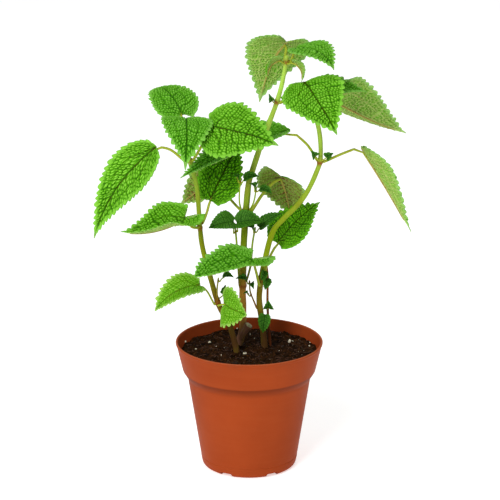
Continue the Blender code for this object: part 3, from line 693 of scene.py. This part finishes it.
n.dress(colour, n.span(fuzz, 0.3, 0.7, 0.42, 0.58), n.bump(fuzz, 0.0001, 0.5), 0.06)


LEAN = 0.3  # how far forward the cross veins run, as a share of the blade


def hashed(i, j, seed):
    """A steady pseudo-random number from 0 to 1 for each cell."""
    value = np.sin(i * 127.1 + j * 311.7 + seed * 17.3) * 43758.5453
    return value - np.floor(value)


def smooth_step(value, low, high):
    """0 up to low, 1 from high on, with an S-shaped rise between; high may be under low."""
    share = np.clip((value - low) / (high - low), 0, 1)
    return share * share * (3 - 2 * share)


def domes(q, r, seed):
    """Domes in columns that stand staggered: height from 0 in the veins to 1 on a crest."""
    first = np.full(q.shape, 9.0)
    second = np.full(q.shape, 9.0)
    for di in (-1, 0, 1):
        for dj in (-1, 0, 1):
            i = np.floor(q) + di
            j = np.floor(r - 0.5 * (i % 2)) + dj
            ci = i + 0.5 + 0.30 * (hashed(i, j, seed) - 0.5)
            cj = j + 0.5 + 0.5 * (i % 2) + 0.36 * (hashed(j, i, seed + 5) - 0.5)
            away = np.hypot(q - ci, r - cj)
            second = np.where(away < first, first, np.minimum(second, away))
            first = np.minimum(first, away)
    gap = second - first
    return (0.4 * smooth_step(gap, 0.0, 0.45)
            + 0.6 * np.clip(1 - (first / 0.66) ** 2, 0, 1)), gap


def leaf_blade(shape, seed, base, tip, face, width, arch, peak, fold, point, lobe, bow,
               flare, spacing, cell, relief, tooth, tooth_depth, thickness, wave):
    """Adds the blade, in place; returns a function for the rib that the stalk runs into."""
    start, stop = np.array(place(*base)) / MM, np.array(place(*tip)) / MM
    chord = stop - start
    length = np.linalg.norm(chord)
    ahead = chord / length
    up = np.array(face, float)
    up = up - (up @ ahead) * ahead
    up /= np.linalg.norm(up)
    side = np.cross(ahead, up)
    bend = start + peak * chord + 2 * (arch * up + bow * side)
    rows = int(1.08 * length / spacing)
    across_count = 2 * int(0.5 * width / spacing)
    for name in ("crest", "vein", "net", "margin", "inner", "grown"):
        shape.verts.layers.float.get(name) or shape.verts.layers.float.new(name)
    grid = bmesh.ops.create_grid(shape, x_segments=rows, y_segments=across_count, size=0.5)
    co = np.array([v.co[:] for v in grid["verts"]])
    u = np.clip(co[:, 0] + 0.5, 0, 1)
    v = np.clip(2 * co[:, 1], -1, 1)

    # u runs from the base to the tip, and v from the left margin over the midrib to the right
    def width_share(u):
        early = u - 0.05 * (1 - u) ** 12
        heart = np.clip(1 - np.clip(1 - (early + 0.05) / 0.37, 0, 1) ** 2.2, 0, 1) ** 0.75
        ends = (1 - np.minimum(np.maximum(early - 0.32, 0) / 0.695, 1) ** 1.5) ** point
        return np.where(early < 0.32, heart, ends)

    def backward(u, far):
        return far * smooth_step(u, 0, 0.04) * (1 - u) ** 3

    def midrib(u):
        u = u[:, None]
        middle = (1 - u) ** 2 * start + 2 * u * (1 - u) * bend + u**2 * stop
        tangent = (1 - u) * (bend - start) + u * (stop - bend)
        tangent /= np.linalg.norm(tangent, axis=1)[:, None]
        across = np.cross(tangent, up)
        across /= np.linalg.norm(across, axis=1)[:, None]
        return middle, tangent, across, np.cross(across, tangent)

    # a band of tissue runs from the midrib to each tooth, leaning towards the tip; the bands
    # of the base fan out from the stalk, and each band holds two columns of domes
    fine = np.linspace(0, 1, 400)
    travelled = []
    for far in lobe:
        edge = np.stack([fine * length - backward(fine, far), width / 2 * width_share(fine)])
        steps = np.hypot(*np.diff(edge, axis=1))
        travelled.append(np.concatenate([[0], np.cumsum(steps)]))
    left = v < 0

    def band(u, v):
        outer = (u - LEAN * np.abs(v) * (1 - u) + LEAN) / (1 + LEAN)
        run = np.where(left, np.interp(outer, fine, travelled[0]),
                       np.interp(outer, fine, travelled[1]))
        total = np.where(left, travelled[0][-1], travelled[1][-1])
        phase = run / total * np.rint(total / tooth)
        return phase + 0.13 * np.sin(phase * 1.7 + seed + 2 * left), total - run

    phase, to_tip = band(u, np.sign(v + 1e-9))
    each = phase - np.floor(phase)
    size = 0.7 + 0.5 * hashed(np.floor(phase), left, seed)
    size = size * smooth_step(to_tip, -1, 2.5 * tooth)
    tooth_shape = np.sin(math.pi * each**1.35) ** 0.7 * size

    half_width = width / 2 * width_share(u)
    from_margin = (1 - np.abs(v)) * half_width
    near = np.clip(1 - from_margin / (1.6 * tooth_depth + 0.3), 0, 1) ** 1.1
    near = near * smooth_step(half_width, 0.1, 2.0 * tooth_depth)
    half = half_width * v + np.sign(v) * tooth_depth * near * (tooth_shape - 0.5)
    forward = tooth_depth * 0.8 * near * (tooth_shape - 0.3) * smooth_step(u, 0.02, 0.12)

    out = np.abs(half + 0.02 * width * np.sin(8 * u + seed) * u * (1 - u))
    side_seed = seed + 3.0 * left
    warp = 0.22 * np.sin(u * length * 0.5 + side_seed) * np.sin(out * 0.45 + side_seed)
    bands = band(u, v)[0] + warp
    q = 2 * bands
    r = out / (0.98 * cell) + 0.3 * np.sin(q * 0.9 + side_seed)
    dome, gap = domes(q, r, side_seed)
    to_cross = np.abs(bands - np.rint(bands)) * tooth
    cross_groove = np.exp(-((to_cross / (0.16 * tooth)) ** 2))
    dome = dome * (1 - 0.3 * cross_groove)
    taper = np.clip(half_width / (2.2 * cell), 0.25, 1)
    rim = smooth_step(from_margin, 1.25 * cell, 0.5 * cell)
    bead = np.sin(math.pi * each) ** 0.6 * (0.7 + 0.3 * smooth_step(from_margin, 0, 0.8 * cell))
    dome = dome * (1 - rim) + rim * (0.15 + 0.85 * bead)
    beside = 0.46 * half_width * smooth_step(u, 0.0, 0.3) ** 0.6
    beside = beside + 0.12 * cell * np.sin(q * 2.0)
    to_lateral = np.abs(out - beside)
    mid_groove = np.exp(-((out / (0.26 * cell)) ** 2))
    lateral_groove = np.exp(-((to_lateral / (0.2 * cell)) ** 2)) * smooth_step(u, 0.95, 0.6)
    height = dome * (1 - 0.9 * mid_groove) * (1 - 0.5 * lateral_groove)
    height = height * smooth_step(u, 0, 0.03)
    height = height - 0.3 * mid_groove - 0.15 * lateral_groove - 0.1 * cross_groove * (1 - rim)

    open_by = np.where(v < 0, flare[0], flare[1])
    slope = math.tan(math.radians(fold)) * (open_by + (1 - open_by) * smooth_step(u, 0.0, 0.4))
    round_off = 0.06 * width
    smooth_out = np.sqrt(half**2 + round_off**2) - round_off
    steep = slope * half / np.sqrt(half**2 + round_off**2)
    flat = 1 / np.sqrt(1 + slope * slope)
    middle, tangent, across, lift = midrib(u)
    back = np.where(v < 0, lobe[0], lobe[1]) * np.abs(v)
    back = backward(u, back)
    normal = lift - steep[:, None] * across
    normal /= np.linalg.norm(normal, axis=1)[:, None]
    ripple = wave * np.abs(v) ** 2 * np.sin(u * 9 + seed + 1.5 * np.sign(v)) * (1 - u)
    lifted = relief * taper * (height - 0.35) + ripple
    spots = (middle + (half * flat)[:, None] * across + (slope * smooth_out * flat)[:, None] * lift
             + (forward - back)[:, None] * tangent + lifted[:, None] * normal)
    broken = 0.2 + 0.8 * smooth_step(np.sin(q * math.tau + seed) + np.sin(u * 31 + seed), -0.8, 0.8)
    main = np.exp(-((out / 0.30) ** 2)) * smooth_step(u, 1.0, 0.6)
    laterals = 0.6 * np.exp(-((to_lateral / 0.26) ** 2)) * smooth_step(u, 0.7, 0.2)
    fades = 1 - 0.9 * smooth_step(out / (half_width + 0.01), 0.1, 0.6)
    net = np.maximum(0.8 * np.exp(-((to_cross / 0.3) ** 2)), 0.4 * smooth_step(gap, 0.14, 0.02))
    marks = {
        "crest": np.clip(height, 0, 1),
        "vein": np.clip(main + laterals, 0, 1) * broken,
        "net": net * (1 - rim) * smooth_step(u, 1.0, 0.7),
        "inner": fades,
        "margin": smooth_step(from_margin, 1.6 * cell, 0.2 * cell),
        "grown": np.ones(len(u)),
    }
    layers = {name: shape.verts.layers.float[name] for name in marks}
    for i, (vert, spot) in enumerate(zip(grid["verts"], spots * MM)):
        vert.co = spot
        for name, layer in layers.items():
            vert[layer] = marks[name][i]
    bmesh.ops.remove_doubles(shape, verts=shape.verts, dist=0.000002)
    top = shape.faces[:]
    shape.normal_update()
    if sum(f.normal.dot(Vector(up)) for f in top) < 0:
        bmesh.ops.reverse_faces(shape, faces=top)
        shape.normal_update()
    inward = {v.co.to_tuple(): v.normal * thickness * MM for v in shape.verts}
    shell = bmesh.ops.extrude_face_region(shape, geom=top, use_keep_orig=True)["geom"]
    for v in (g for g in shell if isinstance(g, bmesh.types.BMVert)):
        v.co -= inward[v.co.to_tuple()]
    for face in (g for g in shell if isinstance(g, bmesh.types.BMFace)):
        face.material_index = 1

    def rib(u, radii):
        """Centre line of a rod that lies in the tissue under the midrib's groove."""
        middle, _, _, lift = midrib(u)
        sunk = relief * np.clip(width / 2 * width_share(u) / (2.2 * cell), 0.25, 1)
        return (middle - (0.62 * sunk + thickness + 0.55 * radii)[:, None] * lift) * MM

    return rib


seeds = itertools.count(1)


def leaf(name, stem_name, height, heading, via, base, tip, face, width, surfaces, arch=4,
         peak=0.5, fold=10, point=1.35, lobe=(4, 4), bow=0, flare=(0.4, 0.4), stalk=1.0,
         slot="bright_leaf", spacing=0.38, cell=2.3, relief=1.35, tooth_depth=1.7,
         thickness=0.35, wave=0.5):
    """A blade from base to tip on a stalk from the stem; lengths in mm, fold in degrees."""
    shape = bmesh.new()
    rib = leaf_blade(shape, next(seeds), base, tip, face, width, arch, peak, fold, point, lobe,
                     bow, flare, spacing, cell, relief, 2 * cell, tooth_depth, thickness, wave)
    foot = spot_on(stem_name, height, heading, reach=0.1 * stalk * MM)
    knee = spot_on(stem_name, height, heading, reach=2 * stalk * MM)
    path = smooth_path([foot, knee, *[place(*s) for s in via], place(*base)], 8)
    held = len(path) - 3
    along = np.linspace(0.06, 0.86, 34)
    radii = stalk * (1.05 - 0.15 * np.linspace(0, 1, held))
    radii = radii * (1 + 0.45 * np.exp(-np.arange(held) / 2.0))
    rib_radii = 0.55 * stalk * (1 - along) ** 0.8 + 0.1
    path = np.vstack([path[:held], rib(along, rib_radii)])
    radii = np.concatenate([radii, rib_radii]) * MM
    share = np.clip(np.arange(len(path)) / held, 0, 2)
    rod(shape, path, radii, 12, 3, 0.04, {"grown": share}, material=2)
    piece(name + "_quilted", shape, [*surfaces, STALK], slot, name)


# Leaves of the left stem: five broad ones near its top, a boat-shaped one lower down, and
# two young ones at its foot.
leaf("leaf_left_upper", "stem_left", 143, (-1, -0.2, 0), [(-54, -10, 151)], (-64, -12, 154),
     (-110, 5, 82), (-0.35, -0.85, 0.3), 33, (UPPER, UNDER), arch=5, bow=5, fold=8, lobe=(2, 2))
leaf("leaf_middle_front", "stem_left", 143, (1, -0.6, 0), [(-31, -16, 158)], (-27, -18, 170),
     (21, -36, 161), (0.1, -0.75, 0.65), 46, (UPPER, UNDER), arch=4, fold=-4, lobe=(7, 7))
leaf("leaf_left_top_front", "stem_left", 168, (0.3, -1, 0), [], (-43, -10, 174),
     (-43, -42, 145), (0.1, -0.6, 0.8), 36, (UPPER_PLAIN, UNDER), arch=9, peak=0.35, fold=5,
     cell=2.0)
leaf("leaf_left_top_back", "stem_left", 169, (-0.3, 1, 0), [], (-46, 3, 173),
     (-65, 34, 185), (0.3, -0.75, 0.6), 34, (UPPER_PLAIN, UNDER), arch=7, fold=-4, point=0.7,
     lobe=(6, 6), cell=1.9)
leaf("leaf_left_lower", "stem_left", 94, (-0.7, -1, 0), [(-40, -12, 96)], (-44, -12, 103),
     (-89, -24, 96), (0, -0.15, 1), 42, (UPPER, UNDER), arch=-5, fold=36, lobe=(17, 9),
     flare=(-0.4, 0.4))
leaf("leaf_middle_dark", "stem_left", 96, (0.8, 0.9, 0), [(-29, 1, 103)], (-27, 2, 111),
     (-6, 38, 146), (0.15, -0.75, 0.65), 31, (UPPER_DEEP, UNDER), arch=3, fold=5)
leaf("leaf_left_small", "stem_left", 38, (-1, -0.6, 0), [(-29, -10, 47)], (-34, -12, 53),
     (-66, -20, 36), (-0.1, -0.62, 0.78), 23, (UPPER_YOUNG, UNDER), arch=8, fold=25, point=0.9,
     stalk=0.7, cell=1.7, relief=0.6)
leaf("leaf_front_small", "stem_left", 36, (0.1, -1, 0), [], (-17, -13, 39),
     (-1, -30, 36), (-0.6, -0.75, 0.2), 30, (UPPER_YOUNG, UNDER), arch=2, fold=15, point=0.9,
     stalk=0.8, cell=1.7, relief=0.8, tooth_depth=1.9, wave=2.2)

# Leaves of the centre stem: two seen from below half-way up, one flat on the right, and the
# pair at the top with two half-open ones between them.
leaf("leaf_left_behind", "stem_centre", 101, (-1, 0.4, 0), [(-13, 17, 108)], (-25, 20, 122),
     (-49, 29, 100), (0.3, 0.9, 0.3), 26, (UPPER_DEEP, UNDER_NETTED), arch=2, fold=12,
     slot="pale_leaf")
leaf("leaf_centre_hanging", "stem_centre", 101, (1, 0.4, 0), [(11, 18, 112)], (23, 22, 124),
     (31, 38, 88), (0.35, 0.82, 0.46), 38, (UPPER_DEEP, UNDER_NETTED), arch=3, fold=-25,
     lobe=(15, 0), stalk=1.2, slot="pale_leaf")
leaf("leaf_right_middle", "stem_centre", 182, (1, 0.3, 0), [(31, 9, 186)], (44, 10, 190),
     (84, 14, 187), (0, -0.3, 0.95), 28, (UPPER_PLAIN, UNDER), arch=3, fold=8,
     lobe=(1, 1), cell=1.9)
leaf("leaf_top_left", "stem_centre", 211, (-0.3, 1, 0), [], (27.5, 13, 223.5),
     (8, 34, 175), (-0.15, 0.86, 0.5), 46, (UPPER, UNDER), arch=9, fold=5, lobe=(11, 11),
     slot="pale_leaf")
leaf("leaf_top_right", "stem_centre", 211, (1, -0.1, 0), [], (33, -2, 222),
     (59, -28, 212), (0.1, -0.3, 0.95), 30, (UPPER_PLAIN, UNDER), arch=7, peak=0.68, fold=3,
     lobe=(7, 3), cell=1.9)
for side, knee, base, tip, face in (
    ("left", (-1, -0.7, 0), (22, 0, 213), (13, -7, 202), (-0.9, 0.1, 0.5)),
    ("right", (1, -1, 0), (32, -4, 212), (37, -9, 199), (0.9, 0.2, 0.4)),
):
    leaf("young_leaf_" + side, "stem_centre", 210, knee, [], base, tip, face, 14,
         (UPPER_DEEP, UNDER), arch=3, fold=25, stalk=0.7, slot="dark_leaf", spacing=0.3,
         cell=1.0, relief=0.4, tooth_depth=0.6, thickness=0.3, wave=0.3)

# Leaves of the right stem: two low down, a crossing pair at the node half-way, and a broad
# pair at its top, one hanging forward and one held back.
leaf("leaf_front_low", "stem_right", 50, (-0.3, -1, 0), [(6, -8, 60)], (3, -11, 72),
     (-37, -34, 66), (0.1, -0.22, 1), 36, (UPPER_PLAIN, UNDER), arch=-1, fold=30, point=0.6,
     lobe=(19, 8), flare=(-0.2, 0.4), tooth_depth=2.3)
leaf("leaf_right_low", "stem_right", 52, (0.3, 1, 0), [(15, 8, 66)], (21, 14, 76),
     (52, 34, 101), (-0.35, -0.65, 0.7), 34, (UPPER_DEEP, UNDER), arch=3, fold=8, cell=1.9)
leaf("leaf_middle_cross", "stem_right", 140, (-0.7, 0.7, 0), [(42, 16, 148)], (30, 33, 155),
     (-47, -25, 135), (0, -0.2, 1), 37, (UPPER_PLAIN, UNDER), arch=-3, fold=26, bow=8,
     flare=(1, 1), lobe=(0, 0), cell=1.9)
leaf("leaf_right_hanging", "stem_right", 140, (1, 0.2, 0), [(66, 4, 144.5)], (80, 6, 149.5),
     (115, -16, 93), (0.86, 0.1, 0.51), 34, (UPPER, UNDER), arch=1, fold=40, lobe=(3, 0),
     slot="pale_leaf")
leaf("leaf_right_front", "stem_right", 181, (-0.4, -1, 0), [], (39, -6, 199),
     (61, -38, 169), (-0.05, -0.75, 0.65), 44, (UPPER, UNDER), arch=5, fold=5, lobe=(0, 6),
     cell=2.1)
leaf("leaf_right_back", "stem_right", 181, (0.7, 0.9, 0), [(49, 14, 184)], (52, 27, 184),
     (114, 48, 149), (0.1, 0.8, 0.6), 50, (UPPER_PLAIN, UNDER), arch=-3, fold=35, lobe=(4, 19),
     flare=(0.4, -1.1), slot="pale_leaf")

# The smallest leaves: dark, soft and still half folded, each on a stalk of its own, at the
# ends of the side shoots and in the angles between the large leaves and the stems.
for name, stem_name, height, heading, base, tip, face, width in (
    ("shoot_left_leaf", "shoot_left", 56, (1, -0.5, 0), (-18, -14, 59), (-10, -17, 60),
     (0, -0.5, 0.9), 7),
    ("shoot_left_leaf_low", "stem_left", 40, (0.9, 0.4, 0), (-17, -4, 43), (-16, -3, 50),
     (-0.3, -0.9, 0.2), 5),
    ("shoot_low_leaf_left", "shoot_low", 49, (-1, -0.4, 0), (-1, 2, 52), (-9, -1, 54),
     (0, -0.6, 0.8), 6),
    ("shoot_low_leaf_right", "shoot_low", 49, (0.2, -1, 0), (1.5, 0, 50), (4, -4, 47),
     (0, -0.6, 0.8), 5),
    ("shoot_low_leaf_tiny", "shoot_low", 40, (-1, 0, 0), (0, 3, 41), (-3.5, 1, 42),
     (0, -0.6, 0.8), 3),
    ("shoot_front_leaf_left", "shoot_front", 88, (-1, -0.2, 0), (-10, -1, 96), (-28, -6, 93),
     (0.1, -0.6, 0.8), 18),
    ("shoot_front_leaf_right", "shoot_front", 89, (1, -0.4, 0), (-8, -2, 96), (11, 0, 96),
     (0, -0.6, 0.8), 17),
    ("shoot_middle_leaf_left", "shoot_middle", 86, (-0.4, -1, 0), (4, 4, 89), (-1, 1, 92),
     (0, -0.6, 0.8), 7),
    ("shoot_middle_leaf_right", "shoot_middle", 86, (1, 0.1, 0), (8, 9, 89), (25, 12, 99),
     (-0.3, -0.6, 0.7), 11),
    ("axil_left_leaf_left", "axil_shoot_left", 124, (-1, -0.4, 0), (-7, 2, 127), (-11, 0, 130),
     (0, -0.6, 0.8), 5),
    ("axil_left_leaf_right", "axil_shoot_left", 124, (1, -0.7, 0), (-3, 1, 127), (8, 1, 129),
     (0, -0.6, 0.8), 8),
    ("axil_right_leaf_left", "axil_shoot_right", 117, (-0.8, -1, 0), (5, 2, 120), (1, 0, 124),
     (0, -0.6, 0.8), 6),
    ("axil_right_leaf_right", "axil_shoot_right", 117, (1, -0.2, 0), (8.5, 4.5, 119),
     (17, 4, 115), (0, -0.6, 0.8), 7),
    ("stem_right_leaf_upper", "stem_right", 60, (0.5, -1, 0), (12, -5, 61), (9, -6.5, 54),
     (0.2, -1, 0.3), 6),
    ("stem_right_leaf_lower", "stem_right", 54, (1, -0.5, 0), (13.5, -3.5, 55), (12, -6, 47),
     (0.2, -1, 0.3), 7),
    ("stem_thin_leaf", "stem_thin", 29, (0.2, -1, 0), (14.5, 3.5, 30), (14.5, 1.5, 37),
     (0, -1, 0.3), 8),
    ("stem_right_leaf_base", "stem_right", 27, (0.5, -1, 0), (12, -4, 28), (10.5, -7, 15),
     (0, -1, 0.3), 10),
    ("node_right_leaf_left", "stem_right", 141, (-0.7, -1, 0), (47.5, -1, 144), (44, -4, 149),
     (-0.2, -0.8, 0.5), 7),
    ("node_right_leaf_right", "stem_right", 141, (0.9, -1, 0), (55, -1, 143), (60, -3, 147),
     (0.2, -0.8, 0.5), 7),
    ("node_centre_leaf_left", "stem_centre", 181, (-1, -0.6, 0), (17, 3, 183), (14.5, 0, 189),
     (-0.2, -0.8, 0.5), 5),
    ("node_centre_leaf_right", "stem_centre", 182, (0.9, -1, 0), (24, 2, 184), (27.5, 0, 187),
     (0.2, -0.8, 0.5), 4),
):
    leaf(name, stem_name, height, heading, [], base, tip, face, width, (UPPER_SMALL, UNDER_SMALL),
         arch=2, fold=26, point=1.1, lobe=(0.15 * width, 0.15 * width), stalk=0.5,
         slot="dark_leaf", spacing=0.28, cell=1.1, relief=0.55, tooth_depth=0.6,
         thickness=0.25, wave=0.15)

bpy.context.view_layer.update()
